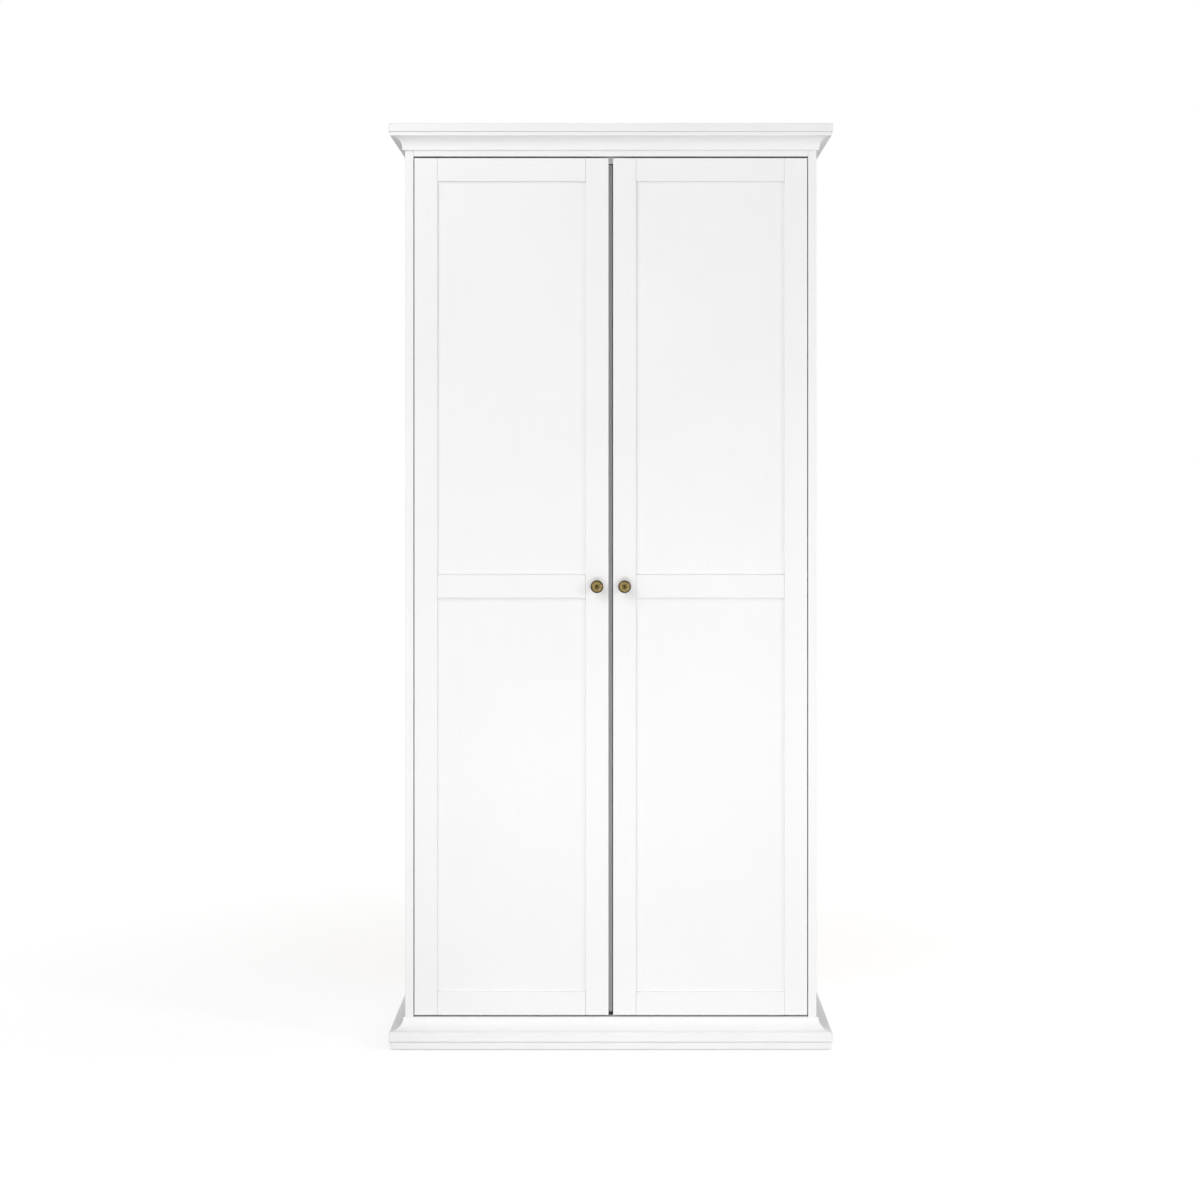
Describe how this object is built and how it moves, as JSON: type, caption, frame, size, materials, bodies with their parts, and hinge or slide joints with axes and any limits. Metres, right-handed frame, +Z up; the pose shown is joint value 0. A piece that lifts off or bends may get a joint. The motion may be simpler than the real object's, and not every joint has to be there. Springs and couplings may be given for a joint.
{
  "type": "wardrobe with doors",
  "caption": "Tall white country-style wardrobe: framed doors with brass knobs inset between the sides, moulded cornice and plinth, with a hat shelf and a clothes rail inside.",
  "frame": {"origin": "on the floor, under the middle of the overall box", "axes": "+Z up, +X to the viewer's right when facing the doors, the doors face -Y, +Y towards the wall"},
  "size_m": [0.962, 0.592, 2.006],
  "materials": {
    "white_paint": "smooth satin white lacquer on wood-based board",
    "hardboard": "raw brown hardboard behind, white-faced inside",
    "antique_brass": "antique brass, dark in the hollows and rubbed on the high rings",
    "nickel_steel": "nickel-plated steel fittings",
    "white_plastic": "moulded white plastic"
  },
  "bodies": {
    "carcass": {"back_joint_strip": "white_plastic", "back_panel_left": "hardboard", "back_panel_right": "hardboard", "base_rail": "white_paint", "bottom_panel": "white_paint", "clothes_rail": "nickel_steel", "cornice_cap": "white_paint", "cornice_front": "white_paint", "cornice_left": "white_paint", "cornice_right": "white_paint", "door_catch": "white_plastic", "frieze_rail": "white_paint", "glide_left_front": "white_plastic", "glide_left_rear": "white_plastic", "glide_right_front": "white_plastic", "glide_right_rear": "white_plastic", "hat_shelf": "white_paint", "hinge_arm_left_lower": "nickel_steel", "hinge_arm_left_middle": "nickel_steel", "hinge_arm_left_upper": "nickel_steel", "hinge_arm_right_lower": "nickel_steel", "hinge_arm_right_middle": "nickel_steel", "hinge_arm_right_upper": "nickel_steel", "hinge_plate_left_lower": "nickel_steel", "hinge_plate_left_middle": "nickel_steel", "hinge_plate_left_upper": "nickel_steel", "hinge_plate_right_lower": "nickel_steel", "hinge_plate_right_middle": "nickel_steel", "hinge_plate_right_upper": "nickel_steel", "plinth_front": "white_paint", "plinth_left": "white_paint", "plinth_right": "white_paint", "rail_socket_left": "nickel_steel", "rail_socket_right": "nickel_steel", "side_panel_left": "white_paint", "side_panel_right": "white_paint", "top_panel": "white_paint"},
    "door_left": {"closing_strip": "white_paint", "door_left_panel_lower": "white_paint", "door_left_panel_upper": "white_paint", "door_left_rail_bottom": "white_paint", "door_left_rail_mid": "white_paint", "door_left_rail_top": "white_paint", "door_left_stile_hinge": "white_paint", "door_left_stile_lock": "white_paint", "hinge_cup_left_lower": "nickel_steel", "hinge_cup_left_middle": "nickel_steel", "hinge_cup_left_upper": "nickel_steel", "knob_left": "antique_brass"},
    "door_right": {"door_right_panel_lower": "white_paint", "door_right_panel_upper": "white_paint", "door_right_rail_bottom": "white_paint", "door_right_rail_mid": "white_paint", "door_right_rail_top": "white_paint", "door_right_stile_hinge": "white_paint", "door_right_stile_lock": "white_paint", "hinge_cup_right_lower": "nickel_steel", "hinge_cup_right_middle": "nickel_steel", "hinge_cup_right_upper": "nickel_steel", "knob_right": "antique_brass"}
  },
  "joints": [
    {"name": "door_left_hinge", "type": "hinge", "parent": "carcass", "child": "door_left", "pos_m": [-0.4085, -0.2531, 1.0024], "axis": [0, 0, -1], "range_deg": [0, 95]},
    {"name": "door_right_hinge", "type": "hinge", "parent": "carcass", "child": "door_right", "pos_m": [0.4085, -0.2531, 1.0024], "axis": [0, 0, 1], "range_deg": [0, 95]}
  ]
}
